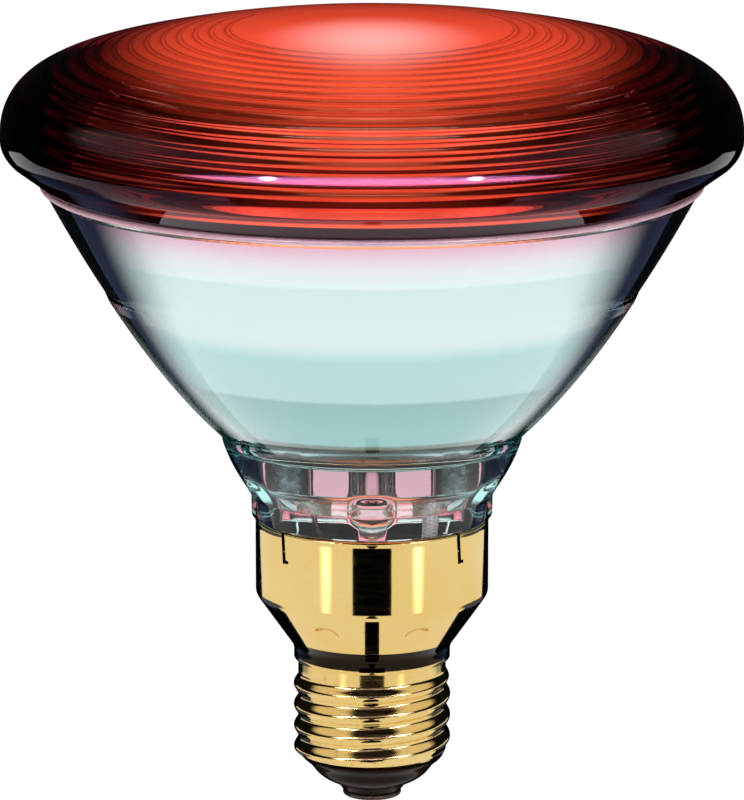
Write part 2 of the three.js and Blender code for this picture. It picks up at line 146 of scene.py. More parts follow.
# Reflector bowl: the outside is two paraboloids that meet at a small step
BOWL_TOP = bowl_high.z
SPIGOT_END = bowl_low.z
UPPER_FOCUS = 14.16
UPPER_VERTEX = 53.1
LOWER_FOCUS = 13.66
LOWER_VERTEX = 51.28
STEP_Z = 86.9
STEP_BLEND = 0.9
LIP_Z = 62.8
NECK_TOP = (24.8, 61.5)
NECK_FOOT = (20.1, 52.6)
FLARE = ((21.2, 54.2), (23.6, 57.6))
NECK_RADIUS = 20.0
SHOULDER_Z = 48.7
SPIGOT_RADIUS = 18.7
SPIGOT_ROUND = 0.5
NECK_BORE = 16.4
BORE_ROUND = 1.6
INNER_FOCUS = 12.77
INNER_VERTEX = 54.17
FLOOR_TOP = 61.0
FLOOR_UNDER = 57.0
LUG_COUNT = 6
LUG_Z = 54.2
LUG_HEIGHT = 0.9
LUG_HALF = (3.1, 2.3)

# Inside the bowl and the neck
TIP_WALL = 0.9
FERRULE_WALL = 0.4
POST_X = (post_low.x + post_high.x) / 2
POST_RADIUS = 0.54
COIL_RADIUS = 1.0
COIL_WIRE = 0.16
ARC_RADIUS = 9.5
ARC_Z = (coil_low.z + coil_high.z) / 2
COIL_TURNS = 46
COIL_END = 75.6
HOOKS = (("left", -45, -3.5), ("middle", 0, 0), ("right", 45, 3.5))
HOOK_WIRE = 0.2
HOOK_LOOP = 1.65
LEAD_RADIUS = 0.45
SLEEVE_WALL = 0.6

# Skirt
SKIRT_RADIUS = 19.4
SKIRT_WALL = 0.4
CORNER_Z = 36.2
CORNER_ROUND = 2.2
CONE_ANGLE = 55
COLLAR_RADIUS = 13.05
SLIT_ANGLES = (-138, -42, 42, 138)
SLIT_WIDTH = 0.8
SLIT_END = 43.3
SLIT_LEAN = 4.0
DIMPLE_ANGLES = (-153, -27, 27, 153)
DIMPLE_Z = 31.4
DIMPLE_HALF = (2.0, 1.65)
DIMPLE_DEPTH = 0.8

# Foot and top of the dark band where the cone meets the collar, and the width of its edge
BAND = (24.9, 28.2)
BAND_EDGE = 0.1

# Screw shell, E27: right-hand thread
PITCH = 25.4 / 7
CREST = shell_high.x
VALLEY = 12.35
FIRST_CREST = 6.86
THREAD_TOP = 22.4
THREAD_FADE = 2.0
CREST_SHAPE = 0.85
SHELL_WALL = 0.35
SHELL_EDGE = 0.35

# Insulator, contact and solder
INSULATOR_TURN = (10.0, 5.4)
INSULATOR_STEP = 7.7
PLUG_RADIUS = 11.6
WIRE_HOLE = 1.4
EYELET_HOLE = 2.6
PIP_FLAT = 1.4
LUMP_DEPTH = 0.14
LUMP_SCALE = 2.3

# Mirror film: its colour at each height, from the floor of the bowl up. The colours are painted reflection
# and shade: darker, greener bands and a dark ring low down, white higher up, pink by the lens
FILM_PAINTED_BANDS = (
    (64.3, (0.75, 0.72, 0.76)),
    (65.3, (0.70, 0.72, 0.74)),
    (65.8, (0.12, 0.18, 0.16)),
    (67.2, (0.16, 0.22, 0.20)),
    (67.7, (0.36, 0.62, 0.60)),
    (75.6, (0.34, 0.54, 0.52)),
    (76.2, (0.56, 0.76, 0.75)),
    (83.6, (0.54, 0.75, 0.74)),
    (86.6, (0.84, 0.91, 0.90)),
    (96.8, (0.78, 0.88, 0.87)),
    (97.3, (0.92, 0.95, 0.97)),
    (100.0, (0.95, 0.88, 0.92)),
    (102.0, (0.97, 0.72, 0.82)),
    (104.0, (0.97, 0.52, 0.66)),
)
FILM_LOW = FILM_PAINTED_BANDS[0][0]
FILM_HIGH = FILM_PAINTED_BANDS[-1][0]
FILM_GAP = 0.05
FILM_THICK = 0.1

# Camera, floor and the sheets that lie on the floor one above the other
CAMERA_DISTANCE = 0.93
CAMERA_ELEVATION = 12.6
CAMERA_LENS = 252.5
CAMERA_SENSOR = 36
CAMERA_AIM = 0.068
FLOOR_Z = -0.15
SHEET_Z = FLOOR_Z + 0.002
CARD_Z = FLOOR_Z + 0.004
BLUE_Z = FLOOR_Z + 0.006

# Ways that a panel faces, and its plain colour
UP = (0, 0, 1)
FORWARD = (0, -1, 0)
BACKWARD = (0, 1, 0)
WHITE = (1, 1, 1)


# ---------------------------------------------------------------------------------------------------------
# Mesh helpers


def spread(first, last, count):
    """count + 1 values from first to last."""
    return [first + (last - first) * i / count for i in range(count + 1)]


def arc(centre, radius, start, end, steps):
    """Points (radius, z) on an arc; angles in degrees from the +radius direction."""
    turns = [math.radians(angle) for angle in spread(start, end, steps)]
    return [(centre[0] + radius * math.cos(a), centre[1] + radius * math.sin(a)) for a in turns]


def bezier(p0, p1, p2, p3, steps):
    """Points on a cubic curve from p0 to p3, with p1 and p2 as its handles."""
    points = []
    for t in spread(0, 1, steps):
        u = 1 - t
        weights = (u**3, 3 * u * u * t, 3 * u * t * t, t**3)
        points.append(tuple(sum(w * p[i] for w, p in zip(weights, (p0, p1, p2, p3))) for i in (0, 1)))
    return points


def paraboloid(focus, vertex, z):
    """Radius at height z."""
    return math.sqrt(4 * focus * (z - vertex))


def clamped(value):
    return min(max(value, 0), 1)


def eased(value):
    """0 below 0, 1 above 1 and a smooth rise between."""
    t = clamped(value)
    return t * t * (3 - 2 * t)


def finish_mesh(name, bm, material, sharp=CRISP):
    """A smooth-shaded object from a bmesh in millimetres, with edges over the sharp angle kept crisp."""
    bmesh.ops.scale(bm, vec=(MM, MM, MM), verts=bm.verts)
    mesh = bpy.data.meshes.new(name)
    bm.to_mesh(mesh)
    bm.free()
    mesh.polygons.foreach_set("use_smooth", [True] * len(mesh.polygons))
    mesh.set_sharp_from_angle(angle=math.radians(sharp))
    mesh.materials.append(material)
    obj = bpy.data.objects.new(name, mesh)
    bpy.context.scene.collection.objects.link(obj)
    return obj


def lathe(profile, segments):
    """A bmesh turned about Z from (radius, z) points run anticlockwise. Points on the axis become poles."""
    bm = bmesh.new()
    rings = []
    for radius, z in profile:
        if radius < 1e-6:
            rings.append([bm.verts.new((0, 0, z))])
            continue
        turns = [2 * math.pi * i / segments for i in range(segments)]
        rings.append([bm.verts.new((radius * math.cos(a), radius * math.sin(a), z)) for a in turns])
    closed = len(rings[0]) > 1
    pairs = list(zip(rings, rings[1:] + rings[:1] if closed else rings[1:]))
    for low, high in pairs:
        for i in range(segments):
            j = (i + 1) % segments
            corners = [low[i % len(low)], low[j % len(low)], high[j % len(high)], high[i % len(high)]]
            unique = list(dict.fromkeys(corners))
            if len(unique) > 2:
                bm.faces.new(unique)
    bmesh.ops.recalc_face_normals(bm, faces=bm.faces)
    return bm


def turned(name, profile, material, segments=FINE, offset=(0, 0, 0), sharp=CRISP):
    bm = lathe(profile, segments)
    bmesh.ops.translate(bm, vec=offset, verts=bm.verts)
    return finish_mesh(name, bm, material, sharp)


def wire(name, points, radius, material, smooth=12):
    """A round wire, as a mesh tube with flat ends. It passes near the points between its first and last."""
    curve = bpy.data.curves.new(name, "CURVE")
    curve.dimensions = "3D"
    spline = curve.splines.new("NURBS")
    spline.points.add(len(points) - 1)
    for target, point in zip(spline.points, points):
        target.co = (*(Vector(point) * MM), 1)
    spline.order_u = 4
    spline.use_endpoint_u = True
    spline.resolution_u = smooth
    curve.bevel_depth = radius * MM
    curve.bevel_resolution = 4
    curve.use_fill_caps = True
    holder = bpy.data.objects.new(name, curve)
    bpy.context.scene.collection.objects.link(holder)
    bpy.context.view_layer.update()
    graph = bpy.context.evaluated_depsgraph_get()
    mesh = bpy.data.meshes.new_from_object(holder.evaluated_get(graph))
    bpy.data.objects.remove(holder)
    mesh.polygons.foreach_set("use_smooth", [True] * len(mesh.polygons))
    mesh.set_sharp_from_angle(angle=math.radians(50))
    mesh.materials.clear()
    mesh.materials.append(material)
    obj = bpy.data.objects.new(name, mesh)
    bpy.context.scene.collection.objects.link(obj)
    return obj


def cut(obj, cutter_bm):
    """Cuts a closed bmesh, in millimetres, out of an object."""
    cutter = finish_mesh("cutter", cutter_bm, obj.data.materials[0])
    modifier = obj.modifiers.new("cut", "BOOLEAN")
    modifier.operation = "DIFFERENCE"
    modifier.solver = "EXACT"
    modifier.object = cutter
    bpy.context.view_layer.objects.active = obj
    bpy.ops.object.modifier_apply(modifier=modifier.name)
    bpy.data.objects.remove(cutter)
    obj.data.set_sharp_from_angle(angle=math.radians(CRISP))


def place(obj, node):
    """obj stands for a CAD node: it joins the body and the node's own mesh is hidden."""
    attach(obj, BODY)
    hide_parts(node)


# ---------------------------------------------------------------------------------------------------------
# Materials


class Nodes:
    """Short ways to build a node tree for one material."""

    def __init__(self, name):
        self.material = bpy.data.materials.new(name)
        self.material.use_nodes = True
        self.tree = self.material.node_tree
        self.surface = self.tree.nodes["Principled BSDF"]
        self.output = self.tree.nodes["Material Output"]
        self.place = self.add("ShaderNodeTexCoord").outputs["Object"]

    def add(self, kind, **settings):
        node = self.tree.nodes.new(kind)
        for key, value in settings.items():
            setattr(node, key, value)
        return node

    def link(self, source, target):
        self.tree.links.new(source, target)

    def set(self, **values):
        for key, value in values.items():
            self.surface.inputs[key.replace("_", " ")].default_value = value

    def noise(self, scale, detail=3.0, squash=(1, 1, 1)):
        """Noise with about scale cells to the millimetre, squeezed along the axes by squash."""
        mapping = self.add("ShaderNodeMapping")
        mapping.inputs["Scale"].default_value = Vector(squash) * (scale / MM)
        self.link(self.place, mapping.inputs["Vector"])
        texture = self.add("ShaderNodeTexNoise")
        texture.inputs["Scale"].default_value = 1.0
        texture.inputs["Detail"].default_value = detail
        texture.inputs["Roughness"].default_value = 0.55
        self.link(mapping.outputs["Vector"], texture.inputs["Vector"])
        return texture.outputs["Fac"]

    def ranged(self, source, low, high, from_low=0.3, from_high=0.7):
        """source, held between from_low and from_high, spread over low to high."""
        node = self.add("ShaderNodeMapRange")
        node.inputs["From Min"].default_value = from_low
        node.inputs["From Max"].default_value = from_high
        node.inputs["To Min"].default_value = low
        node.inputs["To Max"].default_value = high
        self.link(source, node.inputs["Value"])
        return node.outputs["Result"]

    def blend(self, factor, first, second):
        """A colour between first and second, which are colours or sockets."""
        node = self.add("ShaderNodeMix", data_type="RGBA")
        self.link(factor, node.inputs["Factor"])
        for socket, value in ((node.inputs[6], first), (node.inputs[7], second)):
            if isinstance(value, tuple):
                socket.default_value = (*value, 1)
            else:
                self.link(value, socket)
        return node.outputs[2]

    def bump(self, height, distance, below=None):
        """Relief of a height in millimetres, on top of another relief if one is given."""
        node = self.add("ShaderNodeBump")
        node.inputs["Strength"].default_value = 1.0
        node.inputs["Distance"].default_value = distance * MM
        self.link(height, node.inputs["Height"])
        if below is not None:
            self.link(below, node.inputs["Normal"])
        return node.outputs["Normal"]

    def colour(self, socket):
        self.link(socket, self.surface.inputs["Base Color"])

    def roughness(self, socket):
        self.link(socket, self.surface.inputs["Roughness"])

    def normal(self, socket):
        self.link(socket, self.surface.inputs["Normal"])

    def absorb(self, colour, density):
        node = self.add("ShaderNodeVolumeAbsorption")
        node.inputs["Color"].default_value = (*colour, 1)
        node.inputs["Density"].default_value = density
        self.link(node.outputs["Volume"], self.output.inputs["Volume"])


def glass(name, colour, density, grain=0.0, frost=0.0):
    """Glass of one colour, a little wavy. frost is its roughness where the mesh is marked as frosted."""
    n = Nodes(name)
    n.set(Base_Color=(1, 1, 1, 1), Roughness=0.0, IOR=1.47, Transmission_Weight=1.0)
    if frost:
        frosted = n.add("ShaderNodeAttribute", attribute_name="frosted")
        n.roughness(n.ranged(frosted.outputs["Fac"], 0.0, frost, 0, 1))
    waves = n.bump(n.noise(0.06, detail=2.0), 0.02)
    if grain:
        waves = n.bump(n.noise(1.3, detail=2.0), grain, below=waves)
    n.normal(waves)
    n.absorb(colour, density)
    return n


def red_glass():
    """Deep red glass with a painted glow: its inner face, behind the frosted middle, gives off a soft
    red-orange light of its own.
    """
    n = glass("red_glass", (0.72, 0.34, 0.28), 400.0, frost=0.30)
    n.set(Emission_Color=(1.0, 0.22, 0.10, 1), Specular_Tint=(0.50, 0.20, 0.34, 1))
    level = n.add("ShaderNodeAttribute", attribute_name="glow")
    strength = n.add("ShaderNodeMath", operation="MULTIPLY")
    strength.inputs[1].default_value = GLOW_STRENGTH
    n.link(level.outputs["Fac"], strength.inputs[0])
    n.link(strength.outputs["Value"], n.surface.inputs["Emission Strength"])
    return n.material


def painted_shade_foot():
    """Painted shade on the lens's inner wall and foot, just above the bead: dark red, no light comes through.
    """
    n = Nodes("painted_shade_foot")
    n.colour(n.blend(n.ranged(n.noise(0.5), 0, 1), (0.030, 0.003, 0.003), (0.060, 0.006, 0.006)))
    n.roughness(n.ranged(n.noise(0.8), 0.5, 0.7))
    return n.material


def clear_glass():
    return glass("clear_glass", (0.70, 0.97, 0.95), 55.0, grain=0.004).material


def inner_glass():
    return glass("inner_glass", (0.80, 0.97, 0.96), 10.0).material


def seal_glass():
    """Fused frit: milky and pink."""
    n = Nodes("seal_glass")
    n.set(Specular_IOR_Level=0.3)
    n.colour(n.blend(n.ranged(n.noise(0.6), 0, 1), (0.86, 0.50, 0.58), (0.93, 0.60, 0.67)))
    n.roughness(n.ranged(n.noise(0.9), 0.25, 0.4))
    n.normal(n.bump(n.noise(1.2), 0.02))
    return n.material


def mirror_film():
    """Evaporated film coloured with painted reflection and shade: pink and white at the lens, greener and
    darker in bands towards the neck.
    """
    n = Nodes("mirror_film")
    n.set(Metallic=1.0)
    height = n.add("ShaderNodeSeparateXYZ")
    n.link(n.place, height.inputs["Vector"])
    wobble = n.add("ShaderNodeMath", operation="MULTIPLY_ADD")
    n.link(n.noise(0.5, detail=4.0), wobble.inputs[0])
    wobble.inputs[1].default_value = 0.5 * MM
    n.link(height.outputs["Z"], wobble.inputs[2])
    share = n.ranged(wobble.outputs["Value"], 0, 1, FILM_LOW * MM, FILM_HIGH * MM)
    # Painted reflection and shade: the film's colour is set band by band up the bowl
    ramp = n.add("ShaderNodeValToRGB")
    n.link(share, ramp.inputs["Fac"])
    elements = ramp.color_ramp.elements
    while len(elements) < len(FILM_PAINTED_BANDS):
        elements.new(0.5)
    for element, (z, colour) in zip(elements, FILM_PAINTED_BANDS):
        element.position = (z - FILM_LOW) / (FILM_HIGH - FILM_LOW)
        element.color = (*colour, 1)
    n.colour(ramp.outputs["Color"])
    n.roughness(n.ranged(n.noise(0.4), 0.03, 0.07))
    n.normal(n.bump(n.noise(0.7, detail=2.0), 0.006))
    return n.material


def brass(name, worn=0.0):
    """Bright lacquered brass, near black where the mesh is marked dark: painted shade on the skirt's inner
    face, and the dark band at the collar. worn adds specks.
    """
    n = Nodes(name)
    n.set(Metallic=1.0)
    darkened = n.add("ShaderNodeAttribute", attribute_name="darkened").outputs["Fac"]
    patches = n.ranged(n.noise(0.05, detail=4.0), 0, 1)
    tone = n.blend(patches, (0.86, 0.58, 0.19), (0.90, 0.65, 0.25))
    specks = n.ranged(n.noise(1.1, detail=5.0), 0, worn, from_low=0.56, from_high=0.75)
    outer = n.blend(specks, tone, (0.45, 0.27, 0.09))
    n.colour(n.blend(darkened, outer, (0.022, 0.015, 0.009)))
    streaks = n.noise(1.2, detail=4.0, squash=(0.12, 0.12, 3.0))
    n.roughness(n.ranged(streaks, 0.03 + 0.05 * worn, 0.08 + 0.12 * worn))
    fine = n.bump(streaks, 0.0004)
    n.normal(n.bump(n.noise(0.12, detail=2.0), 0.006, below=fine))
    return n.material


def dark_glass():
    """Near-black cap glass."""
    n = Nodes("dark_glass")
    n.set(IOR=1.15, Specular_IOR_Level=0.3, Specular_Tint=(0.75, 0.34, 0.16, 1))
    n.colour(n.blend(n.ranged(n.noise(0.25), 0, 1), (0.006, 0.004, 0.003), (0.018, 0.009, 0.005)))
    n.roughness(n.ranged(n.noise(0.5), 0.08, 0.2))
    n.normal(n.bump(n.noise(0.3, detail=3.0), 0.03))
    return n.material


def metal(name, light, dark, rough=(0.2, 0.35), grain=0.004, scale=1.5):
    """Plain metal whose colour wanders between light and dark."""
    n = Nodes(name)
    n.set(Metallic=1.0)
    n.colour(n.blend(n.ranged(n.noise(scale / 4), 0, 1), dark, light))
    n.roughness(n.ranged(n.noise(scale), *rough))
    n.normal(n.bump(n.noise(scale, detail=4.0), grain))
    return n.material


def braid():
    """A woven glass-fibre sleeve: two sets of fine bands that cross."""
    n = Nodes("glass_braid")
    n.set(Sheen_Weight=0.3)
    bands = []
    for lean in (1, -1):
        mapping = n.add("ShaderNodeMapping")
        mapping.inputs["Rotation"].default_value = (0, math.radians(35 * lean), 0)
        n.link(n.place, mapping.inputs["Vector"])
        wave = n.add("ShaderNodeTexWave", bands_direction="Z")
        wave.inputs["Scale"].default_value = 0.35 / MM
        wave.inputs["Distortion"].default_value = 0.4
        n.link(mapping.outputs["Vector"], wave.inputs["Vector"])
        bands.append(wave.outputs["Fac"])
    cross = n.add("ShaderNodeMath", operation="MAXIMUM")
    n.link(bands[0], cross.inputs[0])
    n.link(bands[1], cross.inputs[1])
    n.colour(n.blend(cross.outputs["Value"], (0.52, 0.48, 0.40), (0.86, 0.83, 0.75)))
    n.roughness(n.ranged(cross.outputs["Value"], 0.9, 0.65, 0, 1))
    n.normal(n.bump(cross.outputs["Value"], 0.12))
    return n.material


RED_GLASS = red_glass()
PAINTED_SHADE_FOOT = painted_shade_foot()
CLEAR_GLASS = clear_glass()
INNER_GLASS = inner_glass()
SEAL_GLASS = seal_glass()
MIRROR = mirror_film()
SKIRT_BRASS = brass("skirt_brass", 0.1)
SHELL_BRASS = brass("shell_brass", 0.5)
DARK_GLASS = dark_glass()
NICKEL = metal("nickel", (0.72, 0.69, 0.64), (0.52, 0.50, 0.46))
TUNGSTEN = metal("tungsten", (0.40, 0.39, 0.38), (0.22, 0.21, 0.20), rough=(0.3, 0.5))
COPPER = metal("copper", (0.80, 0.46, 0.30), (0.55, 0.28, 0.16))
SOLDER = metal("solder", (0.62, 0.62, 0.62), (0.40, 0.40, 0.41), rough=(0.25, 0.5), grain=0.05, scale=0.7)
CONTACT_METAL = metal("contact_metal", (0.10, 0.07, 0.05), (0.04, 0.03, 0.025), rough=(0.2, 0.45))
BRAID = braid()


# ---------------------------------------------------------------------------------------------------------
# Front lens, seal, bowl and mirror


def dome_z(radius, thickness=0.0):
    """Height of the dome, or of its inner face that lies thickness below."""
    return LENS_TOP - DOME_RADIUS + math.sqrt((DOME_RADIUS - thickness) ** 2 - radius**2)


def lens_outside():
    """From the foot up over the rim and the shoulder to the middle of the dome."""
    slope = -DOME_EDGE / math.sqrt(DOME_RADIUS**2 - DOME_EDGE**2)
    foot = arc((FOOT_OUTER - FOOT_ROUND, LENS_FOOT + FOOT_ROUND), FOOT_ROUND, -90, -30, 4)
    rim = arc((LENS_RADIUS - RIM_ROUND, WALL_TOP - 0.2), RIM_ROUND, -RIM_TURN, 0, 16)
    shoulder = bezier(
        (LENS_RADIUS, WALL_TOP),
        (LENS_RADIUS, WALL_TOP + SHOULDER_HANDLE),
        (DOME_EDGE + SHOULDER_HANDLE, dome_z(DOME_EDGE) + slope * SHOULDER_HANDLE),
        (DOME_EDGE, dome_z(DOME_EDGE)),
        40,
    )
    dome = [(radius, dome_z(radius)) for radius in spread(DOME_EDGE, 0, 30)[1:]]
    return [*foot, *rim, *shoulder, *dome]


def lens_inside():
    """From the middle out: a plain centre, rings that step down a little and climb back, a ribbed wall."""
    points = [(radius, dome_z(radius, LENS_THICK)) for radius in spread(0, RIB_FIRST - 0.3, 12)]
    for i in range(RIB_COUNT):
        start = RIB_FIRST + i * RIB_PITCH
        for share, drop in RIB_SHAPE:
            radius = start + share * RIB_PITCH
            points.append((radius, dome_z(radius, LENS_THICK) - drop * RIB_DEPTH))
    last = RIB_FIRST + RIB_COUNT * RIB_PITCH
    wall = bezier((last, dome_z(last, LENS_THICK)), *WALL_INSIDE, WALL_RIB_COUNT * WALL_RIB_STEPS)
    for i, (radius, z) in enumerate(wall):
        rib = 0.5 - 0.5 * math.cos(2 * math.pi * i / WALL_RIB_STEPS)
        points.append((radius - WALL_RIB * rib, z))
    return [*points, (FOOT_INNER, LENS_FOOT + 0.3), (FOOT_INNER + 0.2, LENS_FOOT)]


def mark(obj, name, values):
    """A number for each vertex, which a material reads by its name."""
    obj.data.attributes.new(name, "FLOAT", "POINT").data.foreach_set("value", values)


def make_lens():
    """Turned glass, marked for frost and a painted glow on its inner face, with a second material for the
    painted shade low on its inner wall and foot.
    """
    inside = lens_inside()
    lens = turned("lens", [*inside, *lens_outside()], RED_GLASS)
    inner_count = 1 + (len(inside) - 1) * FINE
    frost = [0.0] * len(lens.data.vertices)
    glow = [0.0] * len(lens.data.vertices)
    for i, vert in enumerate(lens.data.vertices[:inner_count]):
        x, y = vert.co.x / MM, vert.co.y / MM
        reach = math.hypot(x, y)
        frost[i] = clamped((FROST_EDGE - reach) / FROST_FADE)
        # Painted glow: emission of the glass's own, centred a little to the front and weaker on the rings'
        # steps
        away = math.hypot(x * GLOW_SQUEEZE[0], (y + GLOW_SHIFT) * GLOW_SQUEEZE[1])
        on_step = reach > RIB_FIRST and ((reach - RIB_FIRST) / RIB_PITCH) % 1 < RIB_STEEP
        glow[i] = eased((GLOW_EDGE - away) / GLOW_FADE) * (GLOW_ON_STEP if on_step else 1.0)
    mark(lens, "frosted", frost)
    mark(lens, "glow", glow)
    # Faces low on the inner wall and on the foot take the painted shade, an opaque dark red coat
    lens.data.materials.append(PAINTED_SHADE_FOOT)
    for face in lens.data.polygons:
        reach = math.hypot(face.center.x, face.center.y) / MM
        shade_up_to = SHADE_HEIGHT if reach < SHADE_REACH else SHADE_FOOT_HEIGHT
        if face.center.z < (LENS_FOOT + shade_up_to) * MM:
            face.material_index = 1
    place(lens, "front_lens")


def make_seal():
    """A bead with rounded edges between the lens and the bowl."""
    low, high = BOWL_TOP + FIT, LENS_FOOT - FIT
    middle = (low + high) / 2
    outer = arc((FOOT_OUTER - 0.5, middle), (high - low) / 2, -90, 90, 8)
    inner = arc((FOOT_INNER + 0.5, middle), (high - low) / 2, 90, 270, 8)
    place(turned("seal", [*outer, *inner], SEAL_GLASS), "rim_seal")


def bowl_outside():
    """From the end of the spigot up to the rim."""
    end = arc((SPIGOT_RADIUS - SPIGOT_ROUND, SPIGOT_END + SPIGOT_ROUND), SPIGOT_ROUND, -90, 0, 5)
    shoulder = [
        (SPIGOT_RADIUS, SHOULDER_Z),
        (NECK_RADIUS - 0.3, SHOULDER_Z),
        (NECK_RADIUS, SHOULDER_Z + 0.3),
    ]
    flare = bezier(NECK_FOOT, *FLARE, NECK_TOP, 20)
    lower_heights = spread(LIP_Z, STEP_Z - STEP_BLEND, 40)
    upper_heights = spread(STEP_Z + STEP_BLEND, BOWL_TOP - 0.3, 30)
    lower = [(paraboloid(LOWER_FOCUS, LOWER_VERTEX, z), z) for z in lower_heights]
    upper = [(paraboloid(UPPER_FOCUS, UPPER_VERTEX, z), z) for z in upper_heights]
    rim = [(upper[-1][0] + 0.1, BOWL_TOP - 0.1), (upper[-1][0], BOWL_TOP)]
    return [*end, *shoulder, *flare, *lower, *upper, *rim]


def bowl_inside():
    """From the rim down to the middle of the floor."""
    wall = [(paraboloid(INNER_FOCUS, INNER_VERTEX, z), z) for z in spread(BOWL_TOP, FLOOR_TOP + 1.2, 60)]
    floor = bezier(wall[-1], (wall[-1][0] - 0.9, FLOOR_TOP + 0.4), (17.6, FLOOR_TOP), (16.4, FLOOR_TOP), 6)
    return [*wall, *floor[1:], (0, FLOOR_TOP)]


def raise_lugs(bm):
    """Rounded lugs round the foot of the flare, outside only."""
    spacing = 360 / LUG_COUNT
    for vert in bm.verts:
        reach = math.hypot(vert.co.x, vert.co.y)
        if not (LUG_Z - 5 < vert.co.z < LUG_Z + 5 and reach > NECK_RADIUS - 1):
            continue
        angle = math.degrees(math.atan2(vert.co.x, -vert.co.y))
        across = math.radians((angle + spacing / 2) % spacing - spacing / 2) * reach / LUG_HALF[0]
        up = (vert.co.z - LUG_Z) / LUG_HALF[1]
        height = LUG_HEIGHT * math.exp(-(across**4)) * math.exp(-(up**4))
        vert.co.x *= 1 + height / reach
        vert.co.y *= 1 + height / reach


def drill(obj, radius, x, z, depth):
    """An upright round hole at x, centred on height z."""
    bm = bmesh.new()
    bmesh.ops.create_cone(bm, cap_ends=True, segments=SMALL, radius1=radius, radius2=radius, depth=depth)
    bmesh.ops.translate(bm, vec=(x, 0, z), verts=bm.verts)
    cut(obj, bm)


def make_bowl():
    """Turned glass with lugs, and with holes in its floor for the ferrules and the exhaust tip."""
    turn = arc((NECK_BORE - BORE_ROUND, FLOOR_UNDER - BORE_ROUND), BORE_ROUND, 90, 0, 8)
    bore = [(0, FLOOR_UNDER), *turn, (NECK_BORE, SPIGOT_END)]
    bm = lathe([*bore, *bowl_outside(), *bowl_inside()], FINE)
    raise_lugs(bm)
    bowl = finish_mesh("bowl", bm, CLEAR_GLASS)
    ferrule_radius = (ferrule_high.x - ferrule_low.x) / 2
    for x, radius in ((-POST_X, ferrule_radius), (POST_X, ferrule_radius), (0, tip_high.x)):
        drill(bowl, radius + FIT, x, FLOOR_UNDER + 2, depth=12)
    place(bowl, "reflector_bowl")


def make_mirror():
    heights = spread(FILM_LOW, FILM_HIGH, 80)
    outside = [(paraboloid(INNER_FOCUS, INNER_VERTEX, z) - FILM_GAP, z) for z in heights]
    inside = [(radius - FILM_THICK, z) for radius, z in reversed(outside)]
    place(turned("mirror", [*outside, *inside], MIRROR, sharp=60), "mirror_coating")


# ---------------------------------------------------------------------------------------------------------
# Inside the bowl and the neck


def make_tip():
    """A tube with a drawn-out end, thick where it was melted shut."""
    radius = tip_high.x
    bore = radius - TIP_WALL
    low, high = tip_low.z, tip_high.z
    end = bezier((0, low), (1.1, low), (radius, low + 1.2), (radius, low + 4.5), 14)
    inner_end = bezier((bore, low + 6.5), (bore, low + 4.4), (0.9, low + 3.4), (0, low + 3.0), 10)
    profile = [*end, (radius, high - 0.3), (radius - 0.3, high), (bore + 0.2, high), *inner_end]
    place(turned("tip", profile, INNER_GLASS, SMALL), "exhaust_tip")


def make_ferrule(name, x):
    """A metal thimble, open at the bottom."""
    radius = (ferrule_high.x - ferrule_low.x) / 2
    bore = radius - FERRULE_WALL
    low, high = ferrule_low.z, ferrule_high.z
    profile = [
        (0, high - FERRULE_WALL),
        *arc((bore - 0.8, high - 1.2), 0.8, 90, 0, 6),
        (bore, low + 0.1),
        (bore + 0.1, low),
        (radius - 0.1, low),
        (radius, low + 0.1),
        *arc((radius - 0.9, high - 0.9), 0.9, 0, 90, 8),
        (0, high),
    ]
    place(turned(name, profile, NICKEL, SMALL, offset=(x, 0, 0)), name)


def make_posts():
    """Straight wires whose tops bend back and then forward, to the ends of the coil."""
    for name, x in (("lead_post_left", -POST_X), ("lead_post_right", POST_X)):
        low, high = post_low.z, post_high.z
        straight = [(x, 0, low), (x, 0, low + 2), (x, 0, ARC_Z - 3)]
        bend = [(x, 0.1, ARC_Z - 1), (x, 0.7, ARC_Z + 0.4)]
        grip = [(x, 0.4, high - 0.6), (x, -0.6, high - 0.5), (x, -1.3, high - 0.7)]
        place(wire(name, [*straight, *bend, *grip], POST_RADIUS, NICKEL), name)


def make_filament():
    """A fine coil laid on half a circle, whose ends reach the posts."""
    steps = COIL_TURNS * 14
    points = []
    for i in range(steps + 1):
        t = i / steps
        along = math.radians(COIL_END * (2 * t - 1))
        turn = 2 * math.pi * COIL_TURNS * t
        reach = ARC_RADIUS + COIL_RADIUS * math.cos(turn)
        z = ARC_Z + COIL_RADIUS * math.sin(turn)
        points.append((reach * math.sin(along), -reach * math.cos(along), z))
    tail = (POST_X + 0.75, -0.9, ARC_Z + 0.9)
    start = (-tail[0], tail[1], tail[2])
    place(wire("coil", [start, *points, tail], COIL_WIRE, TUNGSTEN, smooth=2), "filament")


def make_hooks():
    """Wires that rise from the bridge and loop round the coil."""
    foot_z = (bridge_low.z + bridge_high.z) / 2
    for name, angle, foot_x in HOOKS:
        turn = math.radians(angle)
        outward = Vector((math.sin(turn), -math.cos(turn), 0))
        middle = outward * ARC_RADIUS + Vector((0, 0, ARC_Z))
        near = middle - outward * 2.25
        loop = []
        for degrees in spread(200, -100, 12):
            a = math.radians(degrees)
            rise = Vector((0, 0, HOOK_LOOP * math.sin(a)))
            loop.append(middle + outward * (HOOK_LOOP * math.cos(a)) + rise)
        stem = [(foot_x, 0, foot_z), (foot_x, -2.3, foot_z + 0.4), (near.x, near.y, ARC_Z - 1.8)]
        node = f"support_hook_{name}"
        place(wire(node, [*stem, *loop], HOOK_WIRE, TUNGSTEN), node)


